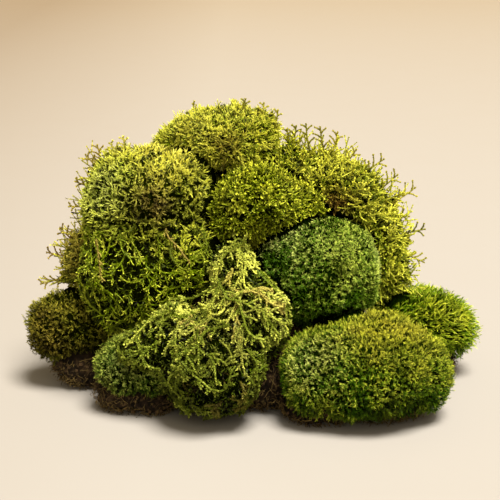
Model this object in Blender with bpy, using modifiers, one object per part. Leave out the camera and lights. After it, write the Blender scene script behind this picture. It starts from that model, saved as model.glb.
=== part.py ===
"""Moss clump: cushions and feathery mats of several mosses, heaped on their own lumps of soil.

The frame is +Z up with the origin on the underside of the soil heap, in the middle of the clump.
The clump is seen from the front along +Y, and +X is to its right.

Every piece is drawn as a few ellipsoid lobes, which are grown together, roughened and thinned to
flat facets. Pieces are laid one after another: each is cut back from the ones before it, with a
narrow gap, so that they nest as the real cushions do. The lobes reach the tips of the leaves.
"""

import math

import bmesh
import bpy
from mathutils import Vector

# Driving dimensions, in metres.
CLUMP_WIDTH = 0.205  # between the tips of the outermost cushions, left to right
JOINT_GAP = 0.0003  # air left between two pieces that touch
SHOOT_RADIUS = 0.0012  # a leafy shoot of the feather moss, to its leaf tips
SHOOT_SIDES = 3
WELD = 0.000001  # points closer than this are one

# The tables below are drawn on a clump 205 units wide, so one unit is a millimetre at full size.
DRAWN_WIDTH = 205.0
UNIT = CLUMP_WIDTH / DRAWN_WIDTH

# How the lobes are grown together, in units.
VOXEL = 2.4  # cell of the remesh that joins the lobes
LUMP_SCALE = 9.0  # width of the small humps on a moss cushion
LUMP_HEIGHT = 2.6
CLOD_SCALE = 5.5  # width of the crumbs on a soil lump
CLOD_HEIGHT = 3.0
LOBE_SEGMENTS, LOBE_RINGS = 24, 14
RELAX_FACTOR, RELAX_TIMES = 0.5, 4  # smoothing of the joined lobes
EVEN_FACTOR, EVEN_TIMES = 0.3, 1  # smoothing of the flat facets
BELOW = 60.0  # depth of the block that cuts the pieces off flat at the ground
GROUND_REACH = 3.0  # side of that block, in clump widths

# Soil lumps: each lobe is its centre and its three half-widths, in units.
SOILS = {
    "soil_heap": [
        ((0, 8, 12), (54, 34, 24)),
        ((-18, 14, 40), (34, 24, 24)),
        ((22, 18, 36), (30, 24, 24)),
        ((9, -13, 14), (16, 17, 16)),
        ((40, 15, 60), (9, 9, 14)),
    ],
    "front_right_soil": [((29, -28, 6), (18, 15, 9)), ((52, -24, 7), (24, 17, 9))],
    "right_soil": [((78, 27, 8), (16, 15, 11))],
    "front_left_soil": [((-50, -16, 7), (17, 13, 10)), ((-40, -20, 6), (13, 11, 8))],
    "left_soil": [((-72, 13, 10), (16, 14, 12)), ((-63, 12, 6), (13, 12, 9))],
}

# Mosses, front ones first, because each is cut back from the ones before it.
MOSSES = {
    "front_right_cushion": [
        ((47, -29, 22), (37, 28, 21)),
        ((28, -31, 18), (18, 21, 15)),
        ((68, -27, 20), (17, 21, 18)),
        ((52, -20, 28), (23, 19, 16)),
    ],
    "trailing_mound": [
        ((-15, -32, 25), (22, 24, 24)),
        ((2, -24, 42), (16, 18, 17)),
        ((-7, -13, 60), (11, 13, 14)),
        ((-30, -24, 38), (12, 14, 11)),
        ((-43, -25, 29), (13, 14, 10)),
    ],
    "front_left_cushion": [((-50, -19, 20), (17, 16, 15)), ((-38, -22, 20), (14, 14, 14))],
    "left_cushion": [((-78, 14, 26), (22, 20, 18)), ((-62, 12, 26), (15, 17, 15))],
    "dark_cushion": [
        ((29, 0, 54), (28, 26, 26)),
        ((14, -2, 55), (15, 20, 20)),
        ((42, 2, 56), (15, 20, 20)),
    ],
    "right_cushion": [
        ((77, 28, 24), (25, 24, 17)),
        ((90, 26, 20), (14, 16, 14)),
        ((65, 26, 28), (16, 18, 13)),
    ],
    "upper_left_mound": [
        ((-44, 8, 84), (26, 24, 24)),
        ((-28, 9, 90), (15, 20, 17)),
        ((-57, 8, 81), (15, 20, 20)),
        ((-43, 0, 54), (30, 20, 24)),
        ((-57, 3, 46), (15, 19, 20)),
        ((-28, -3, 60), (18, 16, 20)),
    ],
    "middle_mound": [
        ((3, 4, 84), (22, 21, 17)),
        ((13, 8, 76), (20, 20, 18)),
        ((-6, 0, 76), (14, 16, 16)),
    ],
    "crown_mound": [
        ((-13, 20, 105), (26, 21, 17)),
        ((1, 22, 106), (13, 16, 14)),
        ((-31, 20, 102), (13, 16, 12)),
    ],
    "right_rear_mound": [
        ((36, 27, 78), (28, 25, 25)),
        ((50, 26, 58), (22, 24, 25)),
        ((24, 28, 90), (17, 21, 15)),
        ((61, 28, 43), (13, 18, 14)),
        ((15, 26, 94), (13, 18, 12)),
    ],
    "left_rear_mound": [
        ((-60, 27, 72), (16, 20, 29)),
        ((-70, 24, 49), (17, 20, 19)),
        ((-61, 29, 89), (9, 13, 11)),
    ],
    "back_mound": [
        ((-12, 42, 52), (40, 22, 44)),
        ((26, 46, 38), (28, 20, 34)),
        ((-46, 42, 30), (24, 18, 26)),
    ],
}

# Area of one facet as each piece is grown, in square units, with wider ones on the two pieces
# that the others cover. Cutting the pieces to nest adds about as many facets again.
FACET = 36.0
WIDE_FACETS = {"soil_heap": 76.0, "back_mound": 56.0}

# Sprays of the feather moss that stand out of a mound: where each leaves it and its tip, in
# units. A spray's stem is straight and starts SPRAY_ROOT inside the mound.
SPRAYS = {
    "crown_mound": [
        ((-2, 20, 117), (-2, 20, 125)),
        ((5, 20, 116), (6, 21, 123)),
        ((10, 21, 113), (12, 21, 120)),
        ((-22, 31, 113), (-25, 37, 120)),
    ],
    "right_rear_mound": [
        ((16, 28, 103), (16, 27, 111)),
        ((18, 28, 103), (20, 28, 112)),
        ((26, 27, 103), (24, 27, 113)),
        ((32, 27, 101), (30, 26, 112)),
        ((35, 28, 99), (38, 29, 109)),
        ((40, 27, 92), (46, 26, 102)),
        ((47, 26, 89), (58, 25, 98)),
        ((53, 26, 81), (64, 25, 91)),
        ((58, 26, 77), (72, 26, 85)),
        ((61, 27, 71), (70, 27, 72)),
        ((65, 27, 63), (77, 28, 66)),
        ((67, 27, 55), (77, 27, 51)),
        ((46, 47, 82), (53, 56, 89)),
    ],
    "left_rear_mound": [
        ((-59, 26, 97), (-61, 25, 103)),
        ((-64, 27, 94), (-66, 27, 104)),
        ((-66, 26, 92), (-71, 25, 100)),
        ((-68, 26, 85), (-76, 25, 88)),
        ((-72, 25, 77), (-79, 24, 77)),
        ((-75, 24, 61), (-83, 23, 68)),
        ((-78, 23, 54), (-89, 22, 57)),
        ((-82, 22, 46), (-92, 20, 43)),
    ],
    "upper_left_mound": [((-51, 9, 104), (-53, 8, 111)), ((-54, 9, 102), (-59, 9, 108))],
    "back_mound": [
        ((-20, 56, 82), (-24, 63, 89)),
        ((4, 58, 72), (7, 66, 77)),
        ((-42, 52, 48), (-49, 60, 53)),
        ((22, 62, 54), (27, 70, 59)),
        ((40, 60, 40), (48, 67, 44)),
    ],
}
SPRAY_ROOT = 3.0
TWIG_SHARES = (0.45, 0.72)  # where the twigs leave the stem
TWIG_ANGLE = math.radians(50)
TWIG_LENGTH = 0.36  # of the stem's length
UPRIGHT = 0.5  # a spray with less than this sideways share counts as upright

# Long strands that trail over the front of a mound, half sunk in it: points of each as seen
# from the front, across and up, in units.
STRANDS = {
    "trailing_mound": [
        ((-10, 59), (-18, 54), (-25, 50), (-31, 48), (-34, 45), (-40, 42), (-46, 39), (-51, 33)),
        ((-31, 47), (-35, 42), (-37, 36)),
        ((-12, 57), (-16, 49)),
        ((-11, 58), (-9, 51), (-3, 51), (4, 51), (11, 50), (15, 49)),
        ((-4, 51), (-2, 43), (1, 40), (7, 37)),
        ((4, 50), (7, 44), (11, 39), (15, 38)),
        ((-8, 45), (-18, 44), (-20, 40), (-26, 36), (-31, 35)),
        ((-19, 43), (-20, 32)),
        ((-23, 36), (-25, 31), (-29, 27), (-33, 20)),
        ((-25, 31), (-19, 27), (-14, 22)),
        ((-17, 37), (-15, 32), (-13, 26)),
        ((-2, 37), (1, 29), (1, 20), (0, 13)),
        ((-4, 71), (-10, 66), (-12, 58)),
        ((-4, 71), (1, 69), (4, 65)),
    ],
}

# Colours as the photograph shows them, in linear light, with a roughness.
COLOURS = {
    "soil": ((0.052, 0.030, 0.015), 0.95),
    "front_right_cushion": ((0.110, 0.170, 0.018), 0.80),
    "trailing_mound": ((0.210, 0.260, 0.022), 0.75),
    "front_left_cushion": ((0.080, 0.140, 0.022), 0.80),
    "left_cushion": ((0.075, 0.085, 0.014), 0.85),
    "dark_cushion": ((0.040, 0.105, 0.034), 0.80),
    "right_cushion": ((0.130, 0.220, 0.010), 0.80),
    "upper_left_mound": ((0.250, 0.270, 0.035), 0.80),
    "middle_mound": ((0.150, 0.200, 0.014), 0.80),
    "crown_mound": ((0.240, 0.235, 0.028), 0.80),
    "right_rear_mound": ((0.190, 0.170, 0.020), 0.80),
    "left_rear_mound": ((0.130, 0.105, 0.018), 0.85),
    "back_mound": ((0.110, 0.125, 0.014), 0.85),
}


def clear_scene():
    """Removes whatever the open scene holds."""
    for obj in list(bpy.data.objects):
        bpy.data.objects.remove(obj)


def new_collection(name):
    """A collection linked to the scene."""
    collection = bpy.data.collections.new(name)
    bpy.context.scene.collection.children.link(collection)
    return collection


def move_to(obj, collection):
    """Puts obj in one collection only."""
    for old in list(obj.users_collection):
        old.objects.unlink(obj)
    collection.objects.link(obj)


def principled(name, colour, roughness):
    """A matt material of one colour."""
    material = bpy.data.materials.new(name)
    material.use_nodes = True
    shader = material.node_tree.nodes["Principled BSDF"]
    shader.inputs["Base Color"].default_value = (*colour, 1.0)
    shader.inputs["Roughness"].default_value = roughness
    shader.inputs["Metallic"].default_value = 0.0
    return material


def evaluated_mesh(obj):
    """A plain mesh of obj as its modifiers leave it."""
    graph = bpy.context.evaluated_depsgraph_get()
    return bpy.data.meshes.new_from_object(obj.evaluated_get(graph))


def apply_modifiers(obj):
    """Replaces obj's mesh with what its modifiers make of it."""
    mesh = evaluated_mesh(obj)
    obj.modifiers.clear()
    obj.data = mesh


def rough_texture(name, scale):
    """A cloud texture whose humps are about scale wide."""
    texture = bpy.data.textures.new(name, "CLOUDS")
    texture.noise_scale = scale
    texture.noise_depth = 1
    return texture


def grow_lobes(name, lobes, texture, height, facet_area):
    """One closed lumpy body: ellipsoids, remeshed together, roughened and thinned to facets."""
    made = []
    for centre, half_widths in lobes:
        bpy.ops.mesh.primitive_uv_sphere_add(
            segments=LOBE_SEGMENTS, ring_count=LOBE_RINGS, radius=1.0
        )
        lobe = bpy.context.object
        lobe.scale = [half * UNIT for half in half_widths]
        lobe.location = [c * UNIT for c in centre]
        made.append(lobe)
    bpy.ops.object.select_all(action="DESELECT")
    for lobe in made:
        lobe.select_set(True)
    bpy.ops.object.transform_apply(location=True, rotation=True, scale=True)
    bpy.context.view_layer.objects.active = made[0]
    if len(made) > 1:
        bpy.ops.object.join()
    body = made[0]
    body.name = name

    remesh = body.modifiers.new("Join lobes", "REMESH")
    remesh.mode = "VOXEL"
    remesh.voxel_size = VOXEL * UNIT
    relax = body.modifiers.new("Relax", "SMOOTH")
    relax.factor = RELAX_FACTOR
    relax.iterations = RELAX_TIMES
    rough = body.modifiers.new("Roughen", "DISPLACE")
    rough.texture = texture
    rough.texture_coords = "GLOBAL"
    rough.mid_level = 0.5
    rough.strength = height * UNIT
    apply_modifiers(body)

    facets = sum(face.area for face in body.data.polygons) / (facet_area * UNIT**2)
    triangles = sum(len(face.vertices) - 2 for face in body.data.polygons)
    thin = body.modifiers.new("Facets", "DECIMATE")
    thin.ratio = facets / triangles
    thin.use_collapse_triangulate = True
    even = body.modifiers.new("Even out the facets", "SMOOTH")
    even.factor = EVEN_FACTOR
    even.iterations = EVEN_TIMES
    apply_modifiers(body)
    return body


def spray_lines(root, tip):
    """The stem of a spray and its twigs, each as a list of points.

    The twigs leave the stem at TWIG_SHARES, on alternate sides, in an upright plane through it.
    """
    root, tip = Vector(root) * UNIT, Vector(tip) * UNIT
    length = (tip - root).length
    along = (tip - root).normalized()
    across = Vector((0, 0, 1)).cross(along)
    if across.length < UPRIGHT:
        across = Vector((0, 1, 0))
    side = along.cross(across).normalized()
    lines = [[root - along * SPRAY_ROOT * UNIT, tip]]
    for number, share in enumerate(TWIG_SHARES):
        heading = along * math.cos(TWIG_ANGLE)
        heading += side * math.sin(TWIG_ANGLE) * (1 if number % 2 else -1)
        start = root.lerp(tip, share)
        lines.append([start, start + heading * length * TWIG_LENGTH])
    return lines


def strand_line(mound, points):
    """A strand's points dropped on to the front of mound, along +Y."""
    line = []
    for across, up in points:
        start = Vector((across * UNIT, -CLUMP_WIDTH, up * UNIT))
        found, place, _, _ = mound.ray_cast(start, Vector((0, 1, 0)))
        if found:
            line.append(place)
    return line


def make_curve(name, lines, closed=False):
    """A curve object of straight runs through lines of points."""
    curve = bpy.data.curves.new(name, "CURVE")
    curve.dimensions = "3D"
    for line in lines:
        spline = curve.splines.new("POLY")
        spline.points.add(len(line) - 1)
        for point, place in zip(spline.points, line):
            point.co = (*place, 1.0)
        spline.use_cyclic_u = closed
    drawn = bpy.data.objects.new(name, curve)
    bpy.context.scene.collection.objects.link(drawn)
    return drawn


def make_shoots(name, lines):
    """Leafy shoots along lines of points, as closed tubes of SHOOT_SIDES sides in one object."""
    turns = [2 * math.pi * side / SHOOT_SIDES for side in range(SHOOT_SIDES)]
    outline = [(SHOOT_RADIUS * math.cos(t), SHOOT_RADIUS * math.sin(t), 0) for t in turns]
    profile = make_curve(name + "_profile", [outline], closed=True)
    drawn = make_curve(name, lines)
    drawn.data.bevel_mode = "OBJECT"
    drawn.data.bevel_object = profile
    drawn.data.use_fill_caps = True
    shoots = bpy.data.objects.new(name, evaluated_mesh(drawn))
    bpy.context.scene.collection.objects.link(shoots)
    bpy.data.objects.remove(drawn)
    bpy.data.objects.remove(profile)
    shape = bmesh.new()
    shape.from_mesh(shoots.data)
    bmesh.ops.remove_doubles(shape, verts=shape.verts, dist=WELD)
    bmesh.ops.recalc_face_normals(shape, faces=shape.faces)
    shape.to_mesh(shoots.data)
    shape.free()
    return shoots


def boolean(obj, other, operation):
    """Joins other to obj, or cuts it away, and applies the result."""
    modifier = obj.modifiers.new(operation.title(), "BOOLEAN")
    modifier.operation = operation
    modifier.solver = "EXACT"
    modifier.use_self = operation == "UNION"
    modifier.object = other
    apply_modifiers(obj)


def keep_largest(obj):
    """Drops the scraps that a cut leaves loose, and keeps the one largest body."""
    shape = bmesh.new()
    shape.from_mesh(obj.data)
    left, bodies = set(shape.verts), []
    while left:
        body, edge_of_search = set(), [next(iter(left))]
        while edge_of_search:
            vertex = edge_of_search.pop()
            if vertex in body:
                continue
            body.add(vertex)
            edge_of_search += [edge.other_vert(vertex) for edge in vertex.link_edges]
        left -= body
        bodies.append(body)
    bodies.sort(key=len, reverse=True)
    scraps = [vertex for body in bodies[1:] for vertex in body]
    bmesh.ops.delete(shape, geom=scraps, context="VERTS")
    bmesh.ops.triangulate(shape, faces=shape.faces)
    shape.to_mesh(obj.data)
    shape.free()


def corners(obj):
    """The lowest and highest corner of obj's mesh."""
    points = [vertex.co for vertex in obj.data.vertices]
    lowest = Vector([min(p[axis] for p in points) for axis in range(3)])
    highest = Vector([max(p[axis] for p in points) for axis in range(3)])
    return lowest, highest


def boxes_meet(first, second):
    """Whether two boxes, each a lowest and a highest corner, overlap."""
    return all(
        first[0][axis] < second[1][axis] and second[0][axis] < first[1][axis] for axis in range(3)
    )


def make_ground(cutters):
    """The block that cuts every piece off flat at the ground."""
    bpy.ops.mesh.primitive_cube_add(size=1.0)
    ground = bpy.context.object
    ground.name = "ground_cutter"
    side = GROUND_REACH * CLUMP_WIDTH
    ground.scale = (side, side, BELOW * UNIT)
    ground.location = (0, 0, -BELOW * UNIT / 2)
    bpy.ops.object.transform_apply(location=True, rotation=True, scale=True)
    move_to(ground, cutters)
    ground.hide_render = True
    ground.display_type = "WIRE"
    return ground


def make_clearance(piece, cutters):
    """A copy of piece, fatter by the joint gap, that cuts the later pieces back from it."""
    clearance = bpy.data.objects.new(piece.name + "_clearance", piece.data.copy())
    cutters.objects.link(clearance)
    fatten = clearance.modifiers.new("Joint gap", "DISPLACE")
    fatten.mid_level = 0.0
    fatten.strength = JOINT_GAP
    apply_modifiers(clearance)
    clearance.hide_render = True
    clearance.display_type = "WIRE"
    return clearance


def add_shoots(piece, lines):
    """Fuses leafy shoots along lines of points to piece."""
    shoots = make_shoots(piece.name + "_shoots", lines)
    boolean(piece, shoots, "UNION")
    bpy.data.objects.remove(shoots)


def make_piece(name, lobes, kind, cutters, helpers):
    """Grows one soil lump or moss as one body, cuts it back and adds its clearance to cutters.

    The clearance is taken before the cutting, from the lobes and the trailing strands. The
    sprays come last, because they stand in the open.
    """
    soil = kind == "soil"
    scale, height = (CLOD_SCALE, CLOD_HEIGHT) if soil else (LUMP_SCALE, LUMP_HEIGHT)
    texture = rough_texture(name + "_humps", scale * UNIT)
    piece = grow_lobes(name, lobes, texture, height, WIDE_FACETS.get(name, FACET))
    if name in STRANDS:
        add_shoots(piece, [strand_line(piece, points) for points in STRANDS[name]])
    clearance = make_clearance(piece, helpers)
    for cutter in cutters:
        if boxes_meet(corners(piece), corners(cutter)):
            boolean(piece, cutter, "DIFFERENCE")
    cutters.append(clearance)
    keep_largest(piece)
    if name in SPRAYS:
        add_shoots(piece, [line for ends in SPRAYS[name] for line in spray_lines(*ends)])
        keep_largest(piece)
    piece.data.materials.clear()
    piece.data.materials.append(principled(name, *COLOURS["soil" if soil else name]))
    return piece


def main():
    """Builds the clump: the soil lumps first, then the mosses from front to back."""
    clear_scene()
    clump = new_collection("moss_clump")
    helpers = new_collection("cutters")
    cutters = [make_ground(helpers)]
    for kind, table in (("soil", SOILS), ("moss", MOSSES)):
        for name, lobes in table.items():
            move_to(make_piece(name, lobes, kind, cutters, helpers), clump)


if __name__ == "__main__":
    main()
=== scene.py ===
"""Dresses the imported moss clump: leaves, shoots, trailing strands, crumbs and root threads.

Lengths are in millimetres inside the surface functions. They become metres when a mesh is built
and in the settings that a user changes. The frame is +Z up, and the front is seen along +Y.
"""

import itertools
import math

import bmesh
import bpy
import numpy as np
from bpy.props import FloatProperty, FloatVectorProperty, PointerProperty
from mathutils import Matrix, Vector
from mathutils.bvhtree import BVHTree


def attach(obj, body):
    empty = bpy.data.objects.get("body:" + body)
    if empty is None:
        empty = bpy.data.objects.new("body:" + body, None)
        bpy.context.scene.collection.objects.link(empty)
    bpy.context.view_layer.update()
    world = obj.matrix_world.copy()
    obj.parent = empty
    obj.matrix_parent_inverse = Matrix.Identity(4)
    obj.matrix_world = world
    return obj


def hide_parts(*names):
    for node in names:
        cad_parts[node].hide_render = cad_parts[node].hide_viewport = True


bl_info = {
    "name": "Moss Clump",
    "version": (1, 0, 0),
    "blender": (4, 5, 0),
    "location": "3D View > Sidebar > Moss",
    "description": "Grows leaves, shoots and crumbs on the solids of a moss clump",
    "category": "Add Mesh",
}

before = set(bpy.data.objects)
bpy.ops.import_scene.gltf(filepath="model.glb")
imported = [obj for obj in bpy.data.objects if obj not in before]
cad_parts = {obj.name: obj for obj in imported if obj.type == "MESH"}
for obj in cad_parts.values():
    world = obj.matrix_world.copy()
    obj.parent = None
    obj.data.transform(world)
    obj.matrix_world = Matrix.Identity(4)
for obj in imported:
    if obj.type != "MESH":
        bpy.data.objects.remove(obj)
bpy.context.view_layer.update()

MM = 0.001  # one millimetre in metres
WELD = 0.000001  # points closer than this are one, in metres
TURN = 2 * math.pi
UP = np.array((0.0, 0.0, 1.0))

# In millimetres and degrees, as all numbers in the surface functions.
GROUND = 0.05  # nothing reaches lower than this above the floor
NEAR_FLOOR = 0.3  # a surface lower than this is covered by the floor
CLOSE = 1.8  # a surface with another piece this close in front of it is covered
VALLEY = 9.5  # half-width of the creases between mosses that are filled
MOST_FILL = 13.0  # no crease is filled further up than this
CELL = 6.0  # side of the cells that the clump's surface is gathered in
RIM = 13.0  # shoots lower than this hang down
GOLDEN_ANGLE = math.radians(137.5)  # from one leaf to the next round a shoot
STEM_SIDES = 3
LEAVES, FELT = 0, 1  # the finishes of a moss, in the order of its materials

# The photograph: what one of its 500 pixels covers at the aimed point, and the camera's angle.
PIXEL = 0.42
TILT = math.radians(15)


# Sizes and colours that a user may change.


def linear(hex_colour):
    """An sRGB hex colour as linear red, green and blue."""
    values = [int(hex_colour[at : at + 2], 16) / 255 for at in (1, 3, 5)]
    return [v / 12.92 if v <= 0.04045 else ((v + 0.055) / 1.055) ** 2.4 for v in values]


def colour_setting(name, description, hex_colour):
    """A colour that the panel shows."""
    return FloatVectorProperty(
        name=name, description=description, subtype="COLOR", size=3, min=0.0, max=1.0,
        default=linear(hex_colour),
    )


def length_setting(name, description, millimetres):
    """A length that the panel shows, in metres."""
    return FloatProperty(
        name=name, description=description, subtype="DISTANCE", unit="LENGTH", min=0.0,
        precision=5, default=millimetres * MM,
    )


# The fields of a moss: four lengths and six colours.
MOSS_FIELDS = {
    "spacing": ("Spacing", "Between neighbouring shoots"),
    "shoot": ("Shoot length", "Of one upright shoot or branch"),
    "leaf": ("Leaf length", "Of one leaf"),
    "width": ("Leaf width", "Of one leaf"),
    # Old leaves: the dark deep between the shoots is partly old leaves and partly painted shade.
    "old": ("Old leaves", "Deep between the shoots"),
    "grown": ("Grown leaves", "Half way up a shoot"),
    "young": ("Young tips", "At the ends of the shoots"),
    # Yellowed tips: partly real yellowing and partly painted light on the tops that the light
    # reaches most.
    "yellow": ("Yellowed tips", "Where the light is strongest"),
    "dry": ("Dry leaves", "In the brown patches"),
    "frost": ("Frosted tips", "In the pale patches"),
}
# Each moss: its lengths in millimetres, then its colours.
MOSS_LOOKS = {
    "front_right_cushion": (
        1.4, 3.8, 1.9, 0.46,
        "#070d01", "#3c6400", "#c4cc3c", "#d4c840", "#96703a", "#d4dc90",
    ),
    "trailing_mound": (
        5.0, 4.0, 1.35, 0.85,
        "#050900", "#566c04", "#c8d054", "#d4d068", "#8c7038", "#e4e8b8",
    ),
    "front_left_cushion": (
        1.45, 3.4, 1.7, 0.46,
        "#070c01", "#325204", "#acb848", "#b8b044", "#967244", "#c8d48c",
    ),
    "left_cushion": (
        1.55, 3.8, 1.8, 0.48,
        "#090b01", "#485600", "#b8b43c", "#c0b444", "#906e36", "#c4c08c",
    ),
    "dark_cushion": (
        1.4, 3.6, 1.8, 0.44,
        "#030701", "#446c00", "#bccc50", "#c4cc4c", "#6c6438", "#ccd488",
    ),
    "right_cushion": (
        1.6, 6.5, 2.6, 0.48,
        "#070d00", "#528800", "#d0dc3c", "#d8d43c", "#8c762c", "#e4ecb0",
    ),
    "upper_left_mound": (
        2.4, 6.0, 1.5, 0.44,
        "#090c00", "#667c00", "#dce444", "#f0e874", "#84683c", "#ccd884",
    ),
    "middle_mound": (
        3.0, 6.4, 1.3, 0.95,
        "#080c00", "#647404", "#d4d840", "#dce054", "#8c6c34", "#e4ecb0",
    ),
    "crown_mound": (
        2.5, 5.8, 1.5, 0.44,
        "#0b0c00", "#6c7c04", "#dcdc48", "#ecec6c", "#94743c", "#e4e4b0",
    ),
    "right_rear_mound": (
        3.2, 7.5, 1.1, 0.9,
        "#0a0a00", "#5e7004", "#d0d444", "#e0dc5c", "#805428", "#d8d8a4",
    ),
    "left_rear_mound": (
        3.3, 7.0, 1.1, 0.9,
        "#0a0a01", "#5a640a", "#c4c444", "#d0c858", "#8c683a", "#d4d0a4",
    ),
    "back_mound": (
        4.7, 8.0, 1.35, 1.05,
        "#090c00", "#526804", "#c0c844", "#d0cc54", "#866a3c", "#d0d0a4",
    ),
}
SOIL_NODES = ("soil_heap", "front_right_soil", "right_soil", "front_left_soil", "left_soil")


def moss_settings(node, look):
    """The property group of one moss."""
    fields = {}
    for (field, (title, note)), value in zip(MOSS_FIELDS.items(), look):
        setting = colour_setting if isinstance(value, str) else length_setting
        fields[field] = setting(title, note, value)
    title = "".join(word.title() for word in node.split("_")) + "Settings"
    return type(title, (bpy.types.PropertyGroup,), {"__annotations__": fields})


MOSS_SETTINGS = {node: moss_settings(node, look) for node, look in MOSS_LOOKS.items()}


class SoilSettings(bpy.types.PropertyGroup):
    """Sizes and colours of the soil lumps."""

    crumb: length_setting("Crumb size", "Half-width of a loose crumb", 0.9)
    thread: length_setting("Thread length", "Of a root thread", 7.0)
    # The soil is darker in the hollows and lighter on the high crumbs.
    soil_in_hollows: colour_setting("Damp soil", "In the hollows", "#0c0804")
    earth: colour_setting("Earth", "Most of a lump", "#261b10")
    soil_on_crumbs: colour_setting("Dry crust", "On the high crumbs", "#54422c")
    roots: colour_setting("Root threads", "Of the fine roots", "#84703f")


class StageSettings(bpy.types.PropertyGroup):
    """The floor, the light and the camera."""

    near: colour_setting("Floor", "Floor round the clump", "#94918f")
    # The far floor and the corner tint are painted shade, where the light falls off away from the
    # clump.
    far: colour_setting("Far floor", "Floor far behind the clump", "#8a7f70")
    corner: colour_setting("Corner tint", "Darkens the floor at the far left", "#ddd4c8")
    distance: length_setting("Camera distance", "From the aimed point", 580.0)
    aim: length_setting("Aim height", "Of the aimed point above the floor", 63.9)


def clump_settings():
    """The property group that holds the groups of all pieces."""
    groups = {**MOSS_SETTINGS, "soil": SoilSettings, "stage": StageSettings}
    fields = {name: PointerProperty(type=group) for name, group in groups.items()}
    return type("ClumpSettings", (bpy.types.PropertyGroup,), {"__annotations__": fields})


ClumpSettings = clump_settings()


# Arrays of points and directions. The last axis is x, y, z.


def unit(vectors):
    """Each vector over its own length."""
    return vectors / np.maximum(np.linalg.norm(vectors, axis=-1, keepdims=True), 1e-9)


def dot(first, second):
    """The dot product of each pair of vectors, with a last axis of one."""
    return np.sum(first * second, axis=-1, keepdims=True)


def square_to(headings):
    """Two unit vectors square to each heading: heading x Z, or heading x X where it is upright,
    and heading x that one."""
    upright = np.abs(headings[..., 2:]) > 0.9
    helper = np.where(upright, (1.0, 0.0, 0.0), UP)
    first = unit(np.cross(headings, helper))
    return first, np.cross(headings, first)


def lattice(cells, seed):
    """A random value from -1 to 1 for each cell, hashed from its whole-number place."""
    value = cells.astype(np.int64).astype(np.uint64)
    mixed = value[..., 0] * np.uint64(374761393) + value[..., 1] * np.uint64(668265263)
    mixed = mixed + value[..., 2] * np.uint64(2147483647) + np.uint64(seed * 144665)
    mixed = (mixed ^ (mixed >> np.uint64(13))) * np.uint64(1274126177)
    mixed = mixed ^ (mixed >> np.uint64(16))
    return (mixed & np.uint64(0xFFFFFF)).astype(float) / 0x7FFFFF - 1.0


def noise(points, width, seed):
    """Smooth noise: lattice values `width` apart, blended by 3s^2 - 2s^3 along each axis."""
    scaled = points / width + 100.0
    cells = np.floor(scaled)
    share = scaled - cells
    share = share * share * (3 - 2 * share)
    total = np.zeros(points.shape[:-1])
    for corner in itertools.product((0, 1), repeat=3):
        weight = np.prod(np.where(corner, share, 1 - share), axis=-1)
        total += weight * lattice(cells + corner, seed)
    return total


def noise_vectors(points, width, seed):
    """Three noises side by side."""
    return np.stack([noise(points, width, seed + axis) for axis in range(3)], axis=-1)


def point_on(axes, share):
    """The places at shares (n, m) from 0 to 1 along polylines (n, k, 3), and the headings there."""
    runs = axes.shape[1] - 1
    along = np.clip(share, 0.0, 1.0) * runs
    before = np.minimum(along.astype(int), runs - 1)
    rows = np.arange(len(axes))[:, None]
    first, last = axes[rows, before], axes[rows, before + 1]
    return first + (last - first) * (along - before)[..., None], unit(last - first)


def bent_axes(roots, tips, sway, count):
    """Polylines (n, count, 3): root + (tip - root) s + sway 4 s (1 - s), for s from 0 to 1."""
    s = np.linspace(0.0, 1.0, count)[None, :, None]
    return roots[:, None] + (tips - roots)[:, None] * s + sway[:, None] * 4 * s * (1 - s)


# The form under a piece: its solid, remeshed evenly.

FORMS = {}
CELLS = []


class Form:
    """An even skin of quads: places, quads, normals and how far each place is in the open."""

    def __init__(self, places, quads):
        self.places, self.quads = places, quads
        corners = places[quads]
        faces = np.cross(corners[:, 2] - corners[:, 0], corners[:, 3] - corners[:, 1])
        self.normals = self.smoothed(np.repeat(faces[:, None], 4, axis=1), 1)
        self.normals = unit(self.smoothed(self.normals[quads], 6))
        self.open = np.ones(len(places))

    def smoothed(self, corner_values, times):
        """Values at the quads' corners, averaged at each place and over each quad, repeatedly."""
        for _ in range(times):
            flat = self.quads.ravel()
            values = corner_values.reshape(len(flat), -1)
            share = np.maximum(np.bincount(flat, minlength=len(self.places)), 1)
            sums = [np.bincount(flat, column, len(self.places)) / share for column in values.T]
            at_places = np.stack(sums, axis=-1)
            over_quads = at_places[self.quads].mean(axis=1, keepdims=True)
            corner_values = np.repeat(over_quads, 4, axis=1)
        return at_places

    def nearest(self, points):
        """Each point dropped square on to the plane of the nearest place, and the normal there."""
        squares = np.sum(self.places**2, axis=1)
        found = np.concatenate(
            [
                np.argmin(squares - 2 * part @ self.places.T, axis=1)
                for part in np.array_split(points, max(1, len(points) // 400))
            ]
        )
        normals = self.normals[found]
        return points - normals * dot(points - self.places[found], normals), normals, found


def mesh_arrays(mesh, sides):
    """The places of a mesh in millimetres, and its faces of `sides` corners each."""
    places = np.empty(len(mesh.vertices) * 3)
    mesh.vertices.foreach_get("co", places)
    corners = np.empty(len(mesh.loops), np.int32)
    mesh.loops.foreach_get("vertex_index", corners)
    return places.reshape(-1, 3) / MM, corners.reshape(-1, sides)


def largest_part(places, quads):
    """Only the quads that hang together with most others: every place takes the lowest number
    among its neighbours until nothing changes."""
    label = np.arange(len(places))
    while True:
        lowest = label[quads].min(axis=1)
        new = label.copy()
        np.minimum.at(new, quads.ravel(), np.repeat(lowest, 4))
        if np.array_equal(new, label):
            break
        label = new
    keep = label == np.bincount(label).argmax()
    number = np.cumsum(keep) - 1
    return places[keep], number[quads[keep[quads[:, 0]]]]


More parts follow.
